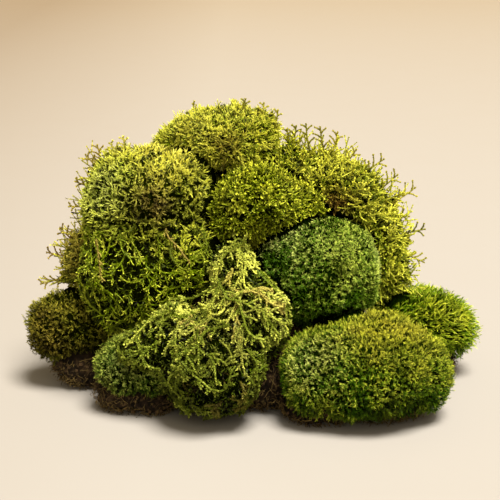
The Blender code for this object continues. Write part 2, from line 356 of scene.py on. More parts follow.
def even_form(node, voxel, relax):
    """The form of a CAD node: a merged copy of it, voxel remeshed and smoothed."""
    shape = bmesh.new()
    shape.from_mesh(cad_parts[node].data)
    bmesh.ops.remove_doubles(shape, verts=shape.verts, dist=WELD)
    mesh = bpy.data.meshes.new(node + "_form")
    shape.to_mesh(mesh)
    shape.free()
    copy = bpy.data.objects.new(node + "_form", mesh)
    bpy.context.scene.collection.objects.link(copy)
    remesh = copy.modifiers.new("Even quads", "REMESH")
    remesh.mode = "VOXEL"
    remesh.voxel_size = voxel * MM
    smooth = copy.modifiers.new("Relax", "SMOOTH")
    smooth.factor = 0.5
    smooth.iterations = relax
    made = copy.evaluated_get(bpy.context.evaluated_depsgraph_get()).to_mesh()
    arrays = mesh_arrays(made, 4)
    bpy.data.objects.remove(copy)
    return Form(*largest_part(*arrays))


def others_tree(node):
    """A search tree of all CAD nodes but one."""
    places, triangles, count = [], [], 0
    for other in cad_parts:
        if other != node:
            more, faces = mesh_arrays(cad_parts[other].data, 3)
            places.append(more)
            triangles.append(faces + count)
            count += len(more)
    return BVHTree.FromPolygons(np.concatenate(places).tolist(), np.concatenate(triangles).tolist())


def find_open(form, node):
    """Sets form.open: 0 where another piece or the floor is within CLOSE along the normal."""
    tree = others_tree(node)
    hits = [
        tree.ray_cast(Vector(place), Vector(normal), CLOSE)[0] is not None
        for place, normal in zip(form.places, form.normals)
    ]
    low = (form.places + form.normals * 0.6 * CLOSE)[:, 2] < NEAR_FLOOR
    covered = np.logical_or(hits, low).astype(float)
    form.open = 1.0 - form.smoothed(covered[form.quads][..., None], 2)[:, 0]


def moss_form(node):
    """The form of a moss, with its open places known. It is made once."""
    if node not in FORMS:
        form = even_form(node, voxel=2.6, relax=4)
        find_open(form, node)
        form.places = form.places + 0.4 * form.normals
        FORMS[node] = form
    return FORMS[node]


def filled_form(node, fill, lump, inset):
    """A moss's form as its shoots stand on it: each open place is moved by the share `fill` of
    the way up to the surface round it, so that the creases between mosses close, fully above 28
    and not at all below 10, and along the normal by lumps 15 and 7 wide, whose noise is the same
    for all mosses and about `lump` high, less `inset`."""
    form = moss_form(node)
    broad, rise = surroundings(form.places)
    height = np.clip((form.places[:, 2:] - 10.0) / 18.0, 0.0, 1.0)
    move = broad * np.clip(rise, 0.0, MOST_FILL) * fill * height
    lumps = lump * (noise(form.places, 15.0, 31) + 0.5 * noise(form.places, 7.0, 32)) - inset
    move = (move + form.normals * lumps[:, None]) * form.open[:, None]
    filled = Form(form.places + form.smoothed(move[form.quads], 2), form.quads)
    filled.open = form.open
    return filled


def clump_cells():
    """The open surface of all mosses in cubic cells: how much of it each holds, its middle and
    the sum of its normals. They are made once."""
    if not CELLS:
        forms = [moss_form(node) for node in MOSS_LOOKS]
        places = np.concatenate([form.places[form.open > 0.5] for form in forms])
        normals = np.concatenate([form.normals[form.open > 0.5] for form in forms])
        _, cell = np.unique(np.floor(places / CELL), axis=0, return_inverse=True)
        cell = cell.ravel()
        share = np.bincount(cell).astype(float)
        CELLS.append(share)
        CELLS.append(np.stack([np.bincount(cell, column) / share for column in places.T], axis=-1))
        CELLS.append(np.stack([np.bincount(cell, column) for column in normals.T], axis=-1))
    return CELLS


def surroundings(points):
    """Which way the clump's open surface faces round each point, and how far that surface stands
    above the point in that direction. Both are means over the cells, whose weights fall with
    distance as a bell of half-width VALLEY."""
    share, middles, facing = clump_cells()
    square = np.sum(points**2, axis=1)[:, None] + np.sum(middles**2, axis=1)
    square = square - 2 * points @ middles.T
    weight = np.exp(-square / (2 * VALLEY**2))
    broad = unit(weight @ facing)
    weight = weight * share
    mean = weight @ middles / weight.sum(axis=1, keepdims=True)
    return broad, dot(mean - points, broad)


def scatter(form, spacing, rng, least_open=0.5):
    """Places about `spacing` apart on the open part of a form, and the normals there: random
    points on its triangles, by their area and six for each place, with one kept in each cubic cell
    of 1.22 spacings."""
    triangles = form.quads[:, (0, 1, 2, 0, 2, 3)].reshape(-1, 3)
    triangles = triangles[form.open[triangles].mean(axis=1) > least_open]
    corners = form.places[triangles]
    sides = np.cross(corners[:, 1] - corners[:, 0], corners[:, 2] - corners[:, 0])
    area = np.linalg.norm(sides, axis=1) / 2
    count = int(6 * area.sum() / spacing**2)
    chosen = rng.choice(len(area), count, p=area / area.sum())
    shares = rng.dirichlet((1.0, 1.0, 1.0), count)[..., None]
    points = np.sum(corners[chosen] * shares, axis=1)
    normals = unit(np.sum(form.normals[triangles[chosen]] * shares, axis=1))
    cells = np.floor(points / (1.22 * spacing)).astype(int)
    _, kept = np.unique(cells, axis=0, return_index=True)
    return points[kept], normals[kept]


# Gathering quads and building meshes.


class Growth:
    """The faces of one piece as they are made, with a tone for each place: red is the age, from
    0, old and deep, to 1, a young tip, times the light of the patches, so that it carries painted
    light and shade as well as age; green is yellowing, blue dryness and alpha frost. Each
    face gets its own square of the UV map."""

    def __init__(self):
        self.places, self.triangles, self.tones, self.finishes = [], [], [], []
        self.squares, self.corners = [], []
        self.count = self.faces = 0

    def add(self, places, faces, tones, finish=LEAVES):
        """Adds triangles, or quads as two triangles each, split from the first corner to the
        third, with their finish."""
        sides = faces.shape[-1]
        faces = faces.reshape(-1, sides) + self.count
        split = list((0, 1, 2, 0, 2, 3)[: 3 * (sides - 2)])
        self.places.append(places.reshape(-1, 3))
        self.tones.append(tones.reshape(-1, 4))
        self.triangles.append(faces[:, split].reshape(-1, 3))
        self.finishes.append(np.full(len(faces) * (sides - 2), finish))
        self.squares.append(np.repeat(self.faces + np.arange(len(faces)), len(split)))
        self.corners.append(np.tile(split, len(faces)))
        self.count += len(self.places[-1])
        self.faces += len(faces)

    def add_loose(self, corners, tones):
        """Faces that share no corner: an array whose last axes are the corners and x, y, z."""
        numbers = np.arange(corners.size // 3).reshape(corners.shape[:-1])
        self.add(corners, numbers, tones)


def build_piece(name, growth, materials):
    """Makes the object from what has grown. Face n has square n of the UV map, row by row."""
    places = np.concatenate(growth.places)
    places[:, 2] = np.maximum(places[:, 2], GROUND)
    triangles = np.concatenate(growth.triangles)
    mesh = bpy.data.meshes.new(name)
    mesh.vertices.add(len(places))
    mesh.vertices.foreach_set("co", (places * MM).astype(np.float32).ravel())
    mesh.loops.add(triangles.size)
    mesh.loops.foreach_set("vertex_index", triangles.astype(np.int32).ravel())
    mesh.polygons.add(len(triangles))
    mesh.polygons.foreach_set("loop_start", np.arange(0, triangles.size, 3, dtype=np.int32))
    mesh.update(calc_edges=True)
    tone = mesh.attributes.new("tone", "FLOAT_COLOR", "POINT")
    values = np.clip(np.concatenate(growth.tones), 0.0, 1.0)
    tone.data.foreach_set("color", values.astype(np.float32).ravel())

    side = math.ceil(math.sqrt(growth.faces))
    square = np.concatenate(growth.squares)
    origin = np.stack((square % side, square // side), axis=-1)
    low, high = 0.15, 0.85  # a face's corners stand in from the edge of its square
    corner = np.array(((low, low), (high, low), (high, high), (low, high)))
    uv = (origin + corner[np.concatenate(growth.corners)]) / side
    layer = mesh.uv_layers.new(name="OFBake")
    layer.data.foreach_set("uv", uv.astype(np.float32).ravel())
    finish = np.concatenate(growth.finishes).astype(np.int32)
    mesh.polygons.foreach_set("use_smooth", finish == FELT)
    for material in materials:
        mesh.materials.append(material)
    mesh.polygons.foreach_set("material_index", finish)
    mesh.validate()
    piece = bpy.data.objects.new(name, mesh)
    bpy.context.scene.collection.objects.link(piece)
    print(f"{name}: {len(triangles)} triangles")
    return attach(piece, "root")


# Leaves, stems and branches.


def patches(points, spots, seed, even=(0.0, 0.0, 0.0)):
    """Light, yellowing, dryness and frost at each point: the even values and noise up to `spread`,
    plus each spot's strength times e to the minus its squared distance over its radius squared."""
    spread = (0.28, 0.14, 0.06)
    values = np.zeros((len(points), 4))
    values[:, 0] = 1.0 + 0.22 * noise(points, 5.0, seed) + 0.16 * noise(points, 1.7, seed + 1)
    for channel, level in enumerate(even, start=1):
        values[:, channel] = level + spread[channel - 1] * noise(points, 7.0, seed + 5 + channel)
    for channel, centre, radius, strength in spots:
        square = np.sum((points - np.array(centre)) ** 2, axis=1) / radius**2
        column = ("light", "yellow", "dry", "frost").index(channel)
        values[:, column] += strength * np.exp(-square)
    return np.maximum(values, 0.0)


def tones_of(patch, age):
    """Tones from the patches of each shoot (n, 4) and ages (n, ...)."""
    wide = patch.reshape(len(patch), *([1] * (age.ndim - 1)), 4)
    tones = np.broadcast_to(wide, age.shape + (4,)).copy()
    tones[..., 0] *= age
    return tones


def grow_leaves(
    growth, axes, count, size, lean, patch, ages, rng, start=0.0, curl=0.1, top=0.55, widest=0.4
):
    """A spiral of leaves on each axis.

    Leaf i stands at the share start + (1 - start)(i + 1/2) / count of the axis, i golden angles
    round it. It leans out by `lean`, less towards the tip. It is a folded diamond, with its side
    corners at the share `widest` of its length, or, where that is 0, a triangle on its base.
    `top` is the last leaf's share of the full size, and `ages` are those of the first and the
    last leaf.
    """
    number = np.arange(count)
    shape = (len(axes), count)
    share = start + (1 - start) * (number + 0.5 + rng.uniform(-0.35, 0.35, shape)) / count
    foot, heading = point_on(axes, share)
    first, second = square_to(heading)
    turn = rng.uniform(0, TURN, (len(axes), 1)) + GOLDEN_ANGLE * number
    turn = (turn + rng.normal(0, 0.3, shape))[..., None]
    outward = first * np.cos(turn) + second * np.sin(turn)
    angle = (lean * (1.1 - 0.5 * share) + rng.normal(0, 0.16, shape))[..., None]
    blade = heading * np.cos(angle) + outward * np.sin(angle)
    face = heading * np.sin(angle) - outward * np.cos(angle)
    across = np.cross(blade, face)
    scale = (1 - (1 - top) * share) * rng.uniform(0.7, 1.2, shape)
    long, wide = size[0] * scale[..., None], size[1] * np.sqrt(scale)[..., None]
    middle = foot + blade * widest * long + face * 0.2 * wide * (widest > 0)
    tip = foot + blade * long - face * curl * long
    sides = (middle + across * wide / 2, middle - across * wide / 2)
    age = ages[0] + (ages[1] - ages[0]) * share + rng.normal(0, 0.13, shape)
    if widest:
        corners = np.stack((foot, sides[0], tip, sides[1]), axis=2)
        corner_age = age[..., None] + np.array((-0.3, -0.02, 0.2, -0.02))
    else:
        corners = np.stack((sides[0], tip, sides[1]), axis=2)
        corner_age = age[..., None] + np.array((-0.3, 0.35, -0.3))
    growth.add_loose(corners, tones_of(patch, corner_age))


def grow_stems(growth, axes, radii, patch, ages):
    """A tube round each axis: at each of its points a ring of STEM_SIDES points, its radius and
    its age running evenly from the first value to the second. The rings are set out from one
    direction square to the whole axis, so that the tube doesn't twist."""
    stems, rings = axes.shape[:2]
    share = np.linspace(0.0, 1.0, rings)
    heading = unit(np.gradient(axes, axis=1))
    across, _ = square_to(unit(axes[:, -1] - axes[:, 0]))
    first = unit(across[:, None] - heading * dot(heading, across[:, None]))
    second = np.cross(heading, first)
    turn = (np.arange(STEM_SIDES) * TURN / STEM_SIDES)[:, None]
    radius = (radii[0] + (radii[1] - radii[0]) * share)[None, :, None, None]
    ring = first[:, :, None] * np.cos(turn) + second[:, :, None] * np.sin(turn)
    places = axes[:, :, None] + ring * radius
    index = np.arange(stems * rings * STEM_SIDES).reshape(stems, rings, STEM_SIDES)
    beside = np.roll(index, -1, axis=2)
    quads = np.stack((index[:, :-1], beside[:, :-1], beside[:, 1:], index[:, 1:]), axis=-1)
    age = np.broadcast_to((ages[0] + (ages[1] - ages[0]) * share)[None, :, None], index.shape)
    growth.add(places, quads, tones_of(patch, age))


def mean_length(axes):
    """The mean length of polylines."""
    return float(np.linalg.norm(np.diff(axes, axis=1), axis=2).sum(axis=1).mean())


def grow_twigs(growth, axes, thick, leaf, patch, ages, rng, dense, lean=50, bud=0, widest=0.5):
    """A leafy twig on each axis: a stem that thins to half of `thick`, short leaves pressed to it,
    `dense` of them a millimetre, and a bud of leaves on its end."""
    grow_stems(growth, axes, (thick, 0.5 * thick), patch, (ages[0] + 0.05, ages[1] - 0.1))
    count = max(3, round(dense * mean_length(axes)))
    lean = math.radians(lean)
    grow_leaves(growth, axes, count, leaf, lean, patch, ages, rng, 0.0, -0.1, 0.8, widest)
    if bud:
        ends, heading = axes[:, -1], unit(axes[:, -1] - axes[:, -2])
        short = np.stack((ends - 0.3 * leaf[0] * heading, ends), axis=1)
        age = (ages[1], ages[1] + 0.1)
        grow_leaves(growth, short, bud, leaf, 0.9 * lean, patch, age, rng, 0.0, -0.1, 1.0, 0.6)


def grow_mat(growth, form, depth, seed, patch_of):
    """The dark felt of old stems under the shoots: the form, sunk by 0.3 and, where it is open, by
    `depth` with noise in it. Its dark is partly old stems and partly painted shade in the gaps
    between the shoots. It isn't frosted, and only a little yellow or dry."""
    wide = np.clip(2.0 * form.smoothed(form.open[form.quads][..., None], 4)[:, 0], 0.0, 1.0)
    sink = wide * depth * (1.0 + 0.35 * noise(form.places, 4.0, seed))
    places = form.places - form.normals * (0.3 + sink)[:, None]
    age = 0.04 + 0.10 * np.maximum(noise(form.places, 3.0, seed + 3), 0.0)
    growth.add(places, form.quads, tones_of(patch_of(places) * (1, 0.3, 0.6, 0), age), FELT)


def grow_cover(growth, form, depth, patch_of, cover, rng):
    """Short tufts of leaves that hide the felt between the shoots: `leaves` on each, about
    `spacing` apart, with their feet at half to nine tenths of the felt's depth."""
    points, normals = scatter(form, cover["spacing"], rng, 0.3)
    heading = unit(normals + 0.25 * UP + rng.normal(0, 0.4, points.shape))
    foot = points - normals * depth * rng.uniform(0.5, 0.9, (len(points), 1))
    axes = np.stack((foot, foot + heading * 1.3), axis=1)
    lean = math.radians(50)
    count, size, ages = cover["leaves"], cover["size"], cover["ages"]
    grow_leaves(growth, axes, count, size, lean, patch_of(points), ages, rng, 0.0, 0.1, 0.9, 0.0)


def place_shoots(form, spacing, habit, seed, rng, least_height=None):
    """Where shoots end, their headings, how much longer than others they are, and their painted
    light: lighter where the form faces up, and painted shade on the lower sides and in the hollows.

    A heading is the normal, plus lift upwards, plus comb, plus swirling noise and a random part. A
    few shoots stray out by up to `stray`. Those lower than RIM hang down by the share `fringe` of
    their height, fully below half of RIM, and more in some places than in others.
    """
    points, normals = scatter(form, spacing, rng, 0.35)
    if least_height is not None:
        above = points[:, 2] > least_height + 7.0 * noise(points, 12.0, seed + 21)
        points, normals = points[above], normals[above]
    low = np.clip(2.0 - points[:, 2:] / (RIM / 2), 0.0, 1.0)
    some = np.clip(0.7 + 0.7 * noise(points, 9.0, seed + 17), 0, 1)[:, None]
    hang = habit["fringe"] * low * some
    heading = normals + (habit["lift"] * (1 - low) - 1.8 * hang) * UP + np.array(habit["comb"])
    heading = heading + habit["swirl"] * noise_vectors(points, 9.0, seed)
    heading = unit(heading + rng.normal(0, habit["jitter"], points.shape))
    hollow = 0.5 + 0.5 * noise(points, habit["lumps"], seed + 11)
    sink = habit["hollow"] * hollow[:, None] + rng.uniform(0, 1.0, (len(points), 1))
    stray = habit["stray"] * rng.random((len(points), 1)) ** 3
    drop = hang * (points[:, 2:] - 0.6)
    tips = points - normals * (sink - 0.4) + heading * stray - drop * UP
    # Painted light: lighter where the form faces up, painted shade on the lower sides and in the
    # hollows.
    painted_light = (0.84 + 0.26 * normals[:, 2]) * (1.24 - 0.6 * hollow)
    return tips, heading, stray + drop, painted_light


def grow_cushion(growth, form, look, habit, spots, seed, rng):
    """A cushion of single upright shoots with needle leaves all round them. There are three kinds
    of shoot, with leaves of different size, spread and number, and they differ in length and
    light, so that no two look alike."""
    tips, heading, further, painted_light = place_shoots(form, look.spacing / MM, habit, seed, rng)
    patch = patches(tips, spots, seed, habit["even"])
    # Painted light and shade from the moss's light and from where the shoot stands, times a random
    # share of the shoot's own.
    patch[:, 0] *= habit["light"] * painted_light * rng.uniform(0.7, 1.15, len(tips))
    kind = rng.integers(0, 3, len(tips))
    for number, (size, spread, fewer) in enumerate(SHOOT_KINDS):
        mine = kind == number
        leaf = (look.leaf / MM * size, look.width / MM * math.sqrt(size))
        ends = tips[mine] - heading[mine] * 0.45 * leaf[0]
        length = look.shoot / MM * rng.uniform(0.8, 1.15, (len(ends), 1)) + further[mine]
        sway = np.cross(heading[mine], rng.normal(0, 0.14, ends.shape)) * length
        axes = bent_axes(ends - heading[mine] * length, ends, sway, 4)
        lean, count = math.radians(habit["lean"] * spread), habit["leaves"] - fewer
        ages, shape = (0.0, 0.95), dict(start=0.25, curl=habit["curl"], top=0.6, widest=0.0)
        grow_leaves(growth, axes, count, leaf, lean, patch[mine], ages, rng, **shape)


def grow_sprigs(growth, roots, heading, length, leaf, patch, rng, habit):
    """Forked sprigs: a stem with a twig at each share of it, on alternate sides in one plane. A
    twig heads 48 degrees off the stem and is 0.38 of its length, longer low down."""
    side, other = square_to(heading)
    turn = rng.uniform(0, TURN, (len(roots), 1))
    side = side * np.cos(turn) + other * np.sin(turn)
    sway = np.cross(heading, rng.normal(0, 0.10, roots.shape)) * length
    stems = bent_axes(roots, roots + heading * length, sway, 4)
    thick = habit["thick"]
    shape = {name: habit[name] for name in ("dense", "lean", "bud", "widest")}
    grow_twigs(growth, stems, thick, leaf, patch, (0.0, 0.95), rng, **shape)
    for number, share in enumerate(habit["shares"]):
        start, along = point_on(stems, np.full((len(roots), 1), share))
        away = side * (1 if number % 2 else -1)
        angle = np.radians(48 + rng.normal(0, 8, (len(roots), 1)))
        aim = along[:, 0] * np.cos(angle) + away * np.sin(angle) + rng.normal(0, 0.14, roots.shape)
        reach = length * 0.38 * (1.45 - 0.9 * share) * rng.uniform(0.7, 1.25, (len(roots), 1))
        bend = heading * 0.12 * reach
        ends = start[:, 0] + unit(aim) * reach + bend
        twigs = np.stack((start[:, 0], ends), axis=1)
        ages = (0.95 * share, 1.0)
        small = (leaf[0] * 0.9, leaf[1] * 0.95)
        grow_twigs(growth, twigs, 0.8 * thick, small, patch, ages, rng, **shape)


def grow_feathers(growth, form, look, habit, spots, seed, rng, lowest=None):
    """A mat of forked sprigs that stand out of the form."""
    tips, heading, further, painted_light = place_shoots(form, look.spacing / MM, habit, seed, rng, lowest)
    length = look.shoot / MM * rng.uniform(0.75, 1.2, (len(tips), 1)) + further
    patch = patches(tips, spots, seed, habit["even"])
    # Painted light and shade from the moss's light and from where the sprig stands.
    patch[:, 0] *= habit["light"] * painted_light
    leaf = (look.leaf / MM, look.width / MM)
    grow_sprigs(growth, tips - heading * length, heading, length, leaf, patch, rng, habit)


def grow_sprays(growth, sprays, spots, seed, rng, even):
    """The long sprays that the solids have: a stem from root to tip, rooted deeper than in the
    solid, and twigs in the upright plane through it. Each of FORKS is a twig: its share of the
    stem, its length against the stem's and its side. Stems and twigs arch a little, each ends in a
    bud, and all are a little dry."""
    root, tip = np.array(sprays, float)[:, 0], np.array(sprays, float)[:, 1]
    length = np.linalg.norm(tip - root, axis=1, keepdims=True)
    heading = (tip - root) / length
    across = np.cross(UP, heading)
    across = np.where(np.linalg.norm(across, axis=1, keepdims=True) < 0.5, (0.0, 1.0, 0.0), across)
    side = unit(np.cross(heading, across))
    patch = patches(root, spots, seed, even)
    patch[:, 2] += 0.3
    leaf = (1.05, 0.9)
    sway = side * rng.uniform(-0.1, 0.1, (len(root), 1)) * length
    stems = bent_axes(root - 6.0 * heading, tip - heading * 0.8, sway, 8)
    shape = dict(dense=5.0, lean=42, bud=8)
    grow_twigs(growth, stems, 0.6, leaf, patch, (0.4, 0.9), rng, **shape)
    for share, size, way in FORKS:
        start, along = point_on(stems, np.full((len(root), 1), share))
        aim = along[:, 0] * math.cos(FORK_ANGLE) + way * side * math.sin(FORK_ANGLE)
        reach = np.maximum(length * size, 1.2)
        twigs = bent_axes(start[:, 0], start[:, 0] + aim * reach, heading * 0.1 * reach, 3)
        grow_twigs(growth, twigs, 0.5, leaf, patch, (0.5, 0.95), rng, **shape)


def smoothed_lines(axes, times):
    """Polylines whose inner points move, `times` over, half way to the mean of their neighbours."""
    for _ in range(times):
        inner = 0.25 * axes[:, :-2] + 0.5 * axes[:, 1:-1] + 0.25 * axes[:, 2:]
        axes = np.concatenate((axes[:, :1], inner, axes[:, -1:]), axis=1)
    return axes


def walk(form, starts, headings, rng, steps, step, fall, wander):
    """Smoothed paths (n, steps + 1, 3) that walk over a form, the normals along them and how far
    each path is in the open. A heading is the last one, plus fall downwards, plus a turn that
    keeps 0.7 of the last turn and adds one of about `wander`, laid flat on the form."""
    place, normal, found = form.nearest(starts)
    heading, bend = headings, 0.0
    places, normals, opens = [place], [normal], [form.open[found]]
    for _ in range(steps):
        bend = 0.7 * bend + rng.normal(0, wander, (len(place), 1))
        heading = heading - fall * UP + np.cross(normal, heading) * bend
        heading = unit(heading - normal * dot(heading, normal))
        place, normal, found = form.nearest(place + heading * step)
        places.append(place)
        normals.append(normal)
        opens.append(form.open[found])
    paths, ups = smoothed_lines(np.stack(places, 1), 2), smoothed_lines(np.stack(normals, 1), 2)
    return paths, unit(ups), np.mean(opens, axis=0)


def grow_strands(growth, paths, normals, look, patch, rng, layer):
    """Trailing strands: a leafy stem along each path, `rise` above the form, and branches off it
    about every `gap`, now to one side and now to the other, with one in five on the wrong side. A
    branch heads 35 to 65 degrees off the stem, bends along it, is 0.45 to 1.2 times `reach` long,
    shorter towards the tip of the strand, and has a stub at each share in `stubs`."""
    axes = paths + normals * layer["rise"]
    leaf = (look.leaf / MM, look.width / MM)
    dense, ages, thick = layer["dense"], layer["ages"], layer["thick"]
    count = len(axes)
    grow_twigs(growth, axes, thick, leaf, patch, ages, rng, dense)
    branches = max(2, int(mean_length(axes) / layer["gap"]))
    later = (ages[0] + 0.08, ages[1] + 0.08)
    for number in range(branches):
        share = (number + 0.5 + rng.uniform(-0.4, 0.4, (count, 1))) / branches
        start, along = point_on(axes, share)
        up, _ = point_on(normals, share)
        start, along, up = start[:, 0], along[:, 0], unit(up[:, 0])
        turned = np.where(rng.random((count, 1)) < 0.2, -1.0, 1.0)
        away = np.cross(up, along) * (1 if number % 2 else -1) * turned
        angle = np.radians(rng.uniform(35, 65, (count, 1)))
        lift = up * rng.uniform(-0.4, 0.35, (count, 1))
        aim = unit(along * np.cos(angle) + away * np.sin(angle) + lift)
        size = layer["reach"] * (1.15 - 0.65 * share) * rng.uniform(0.45, 1.2, (count, 1))
        bow = away * rng.uniform(0.02, 0.16, (count, 1)) * size
        ends = start + aim * size - 0.12 * size * UP
        twigs = bent_axes(start, ends, bow, 4)
        grow_twigs(growth, twigs, 0.8 * thick, leaf, patch, later, rng, dense)
        for order, place in enumerate(layer["stubs"]):
            fork, on = point_on(twigs, np.full((count, 1), place))
            spread = away * (1 if order % 2 else -1) + 0.35 * up * rng.normal(0, 1, (count, 1))
            reach = np.maximum(0.34 * size, 0.9)
            stubs = np.stack((fork[:, 0], fork[:, 0] + unit(on[:, 0] + spread) * reach), axis=1)
            small = (0.9 * leaf[0], 0.9 * leaf[1])
            grow_twigs(growth, stubs, 0.65 * thick, small, patch, later, rng, dense)


# Layers of strands: height over the form, ages of the first and the last leaf, leaves a
# millimetre, millimetres between branches, their length, the stem's radius and the stubs' shares.
LAYER_FIELDS = ("rise", "ages", "dense", "gap", "reach", "thick", "stubs")
# The lower layers' low ages make them dark: partly old leaves, partly painted shade under the upper
# layers.
TRAILING_LOWER = dict(zip(LAYER_FIELDS, (-2.6, (0.05, 0.4), 2.8, 2.8, 4.6, 0.42, ())))
TRAILING_UPPER = dict(zip(LAYER_FIELDS, (-0.7, (0.5, 0.95), 5.0, 2.8, 4.4, 0.55, (0.6,))))
TRAILING_DRAWN = dict(zip(LAYER_FIELDS, (0.4, (0.5, 0.98), 5.6, 2.6, 4.6, 0.6, (0.5,))))
HANGING_LOWER = dict(zip(LAYER_FIELDS, (-2.8, (0.05, 0.4), 2.4, 3.6, 4.0, 0.38, ())))
HANGING_UPPER = dict(zip(LAYER_FIELDS, (-0.6, (0.3, 0.95), 3.6, 2.9, 4.4, 0.42, (0.6,))))
BARE = dict(zip(LAYER_FIELDS, (1.0, (0.6, 0.9), 3.4, 2.6, 1.9, 0.34, ())))

# The kinds of shoot in a cushion: leaf size and lean against the usual, and how many leaves fewer.
SHOOT_KINDS = ((1.0, 1.0, 0), (0.75, 1.15, 3), (1.25, 0.8, 4))

# Tufts on the felt: millimetres between them, leaves on each, leaf size and ages.
LEAF_COVER = dict(spacing=1.6, leaves=4, size=(2.3, 0.8), ages=(0.2, 0.68))
# The dark cover's low ages are partly old leaves and partly painted shade deep in the felt.
DARK_COVER = dict(spacing=2.2, leaves=3, size=(2.1, 0.75), ages=(0.0, 0.3))

# How each moss grows, in millimetres and degrees. `light` makes a whole moss lighter or
# darker, painted light and shade, lightest on the mounds at the top of the clump. `even` is its
# overall yellowing, dryness and frost; a spot adds to one of them round a place, or to the light.
CUSHION = dict(
    leaves=19, lean=50, lift=0.25, comb=(0, 0, 0), swirl=0.5, jitter=0.3, curl=0.12, lumps=5.0,
    hollow=2.2, stray=1.6, fringe=0.0,
)
CUSHION_HABITS = {
    "front_right_cushion": dict(
        CUSHION, lift=0.35, comb=(0.05, 0, 0), fringe=0.4, light=1.03, even=(0.05, 0.01, 0.0),
    ),
    "front_left_cushion": dict(
        CUSHION, leaves=18, comb=(-0.1, 0, 0), jitter=0.32, fringe=0.65, light=1.25,
        even=(0.03, 0.02, 0.02),
    ),
    "left_cushion": dict(
        CUSHION, leaves=18, lean=48, comb=(-0.1, 0, 0), jitter=0.34, lumps=6.0, hollow=2.8,
        fringe=0.7, light=1.02, even=(0.1, 0.12, 0.01),
    ),
    "dark_cushion": dict(
        CUSHION, lean=52, lift=0.15, swirl=0.6, jitter=0.35, curl=0.35, lumps=6.0, hollow=2.6,
        stray=1.2, light=1.14, even=(0.0, 0.0, 0.05),
    ),
    "right_cushion": dict(
        CUSHION, lean=24, lift=0.2, comb=(0.35, 0, -0.15), swirl=0.4, jitter=0.2, curl=0.05,
        lumps=7.0, stray=2.4, fringe=0.45, light=1.15, even=(0.12, 0.01, 0.0),
    ),
}
SPRIGS = dict(
    lift=0.3, comb=(0, 0, 0), swirl=0.4, jitter=0.3, lumps=6.5, hollow=3.0, stray=9.0, fringe=0.0,
    shares=(0.4, 0.6, 0.8), dense=4.2, thick=0.36, lean=44, bud=2, widest=0.0, inset=0.0,
)
FINE_SPRIGS = dict(SPRIGS, lumps=5.5, shares=(0.35, 0.55, 0.75), dense=5.0, thick=0.22, bud=0)
FEATHER_HABITS = {
    "upper_left_mound": dict(
        FINE_SPRIGS, lift=0.45, hollow=2.8, stray=2.4, light=1.5, even=(0.25, 0.0, 0.0),
    ),
    "middle_mound": dict(
        SPRIGS, jitter=0.35, lumps=6.0, hollow=3.4, stray=3.5, shares=(0.45, 0.65, 0.83),
        thick=0.3, light=0.8, even=(0.05, 0.0, 0.0),
    ),
    "crown_mound": dict(
        FINE_SPRIGS, lift=0.4, hollow=2.6, stray=3.0, light=1.65, even=(0.25, 0.02, 0.0),
    ),
    "right_rear_mound": dict(
        SPRIGS, lift=0.35, comb=(0.25, 0, 0), inset=3.6, light=1.52, even=(0.15, 0.03, 0.0),
    ),
    "left_rear_mound": dict(
        SPRIGS, comb=(-0.25, 0, 0), dense=4.0, inset=3.6, light=1.35, even=(0.12, 0.18, 0.0),
    ),
    "back_mound": dict(
        SPRIGS, comb=(0, 0.1, 0), jitter=0.32, lumps=7.5, stray=7.5, fringe=0.6, dense=2.9,
        thick=0.38, inset=2.6, light=1.3, even=(0.1, 0.08, 0.0),
    ),
}
# A "light" spot paints light where its strength is above 0 and shade where it is below.
SPOTS = {
    "front_right_cushion": [
        ("yellow", (58, -30, 44), 24, 0.7),
        ("light", (58, -28, 46), 20, 0.25),
        ("frost", (24, -46, 32), 13, 0.6),
        ("dry", (68, -42, 26), 3.5, 0.9),
        ("light", (60, -45, 8), 16, -0.25),
    ],
    "dark_cushion": [
        ("frost", (8, -12, 72), 18, 0.6),
        ("light", (6, -14, 62), 16, -0.25),
        ("frost", (55, 2, 58), 9, 0.7),
        ("light", (42, -14, 66), 16, 0.2),
        ("yellow", (40, -20, 60), 14, 0.3),
        ("light", (28, -22, 34), 16, -0.4),
    ],
    "right_cushion": [("yellow", (88, 14, 34), 16, 0.5)],
    "left_cushion": [("dry", (-88, 0, 26), 14, 0.3), ("light", (-86, 4, 10), 12, -0.3)],
    "front_left_cushion": [("frost", (-52, -34, 24), 10, 0.35)],
    "trailing_mound": [
        ("yellow", (-12, -50, 48), 22, 0.4),
        ("light", (-9, -40, 57), 17, 0.5),
        ("light", (0, -48, 8), 14, -0.15),
    ],
    "upper_left_mound": [
        ("dry", (-39, -14, 88), 10, 0.8),
        ("light", (-39, -14, 86), 11, -0.55),
        ("light", (-37, -6, 104), 16, 1.3),
        ("light", (-22, -10, 84), 11, -0.45),
        ("frost", (-60, -4, 90), 13, 0.7),
        ("yellow", (-26, -4, 102), 15, 0.5),
        ("yellow", (-45, 8, 108), 16, 0.5),
    ],
    "middle_mound": [("dry", (0, -8, 70), 6, 0.4)],
    "crown_mound": [("dry", (-10, 4, 107), 6, 0.7), ("yellow", (-20, 20, 120), 20, 0.4)],
    "right_rear_mound": [
        ("dry", (36, 4, 82), 8, 0.8),
        ("light", (36, 4, 82), 8, -0.35),
        ("yellow", (45, 20, 98), 18, 0.3),
    ],
    "left_rear_mound": [("dry", (-70, 14, 60), 16, 0.3)],
    "back_mound": [("yellow", (-10, 50, 92), 22, 0.3)],
}

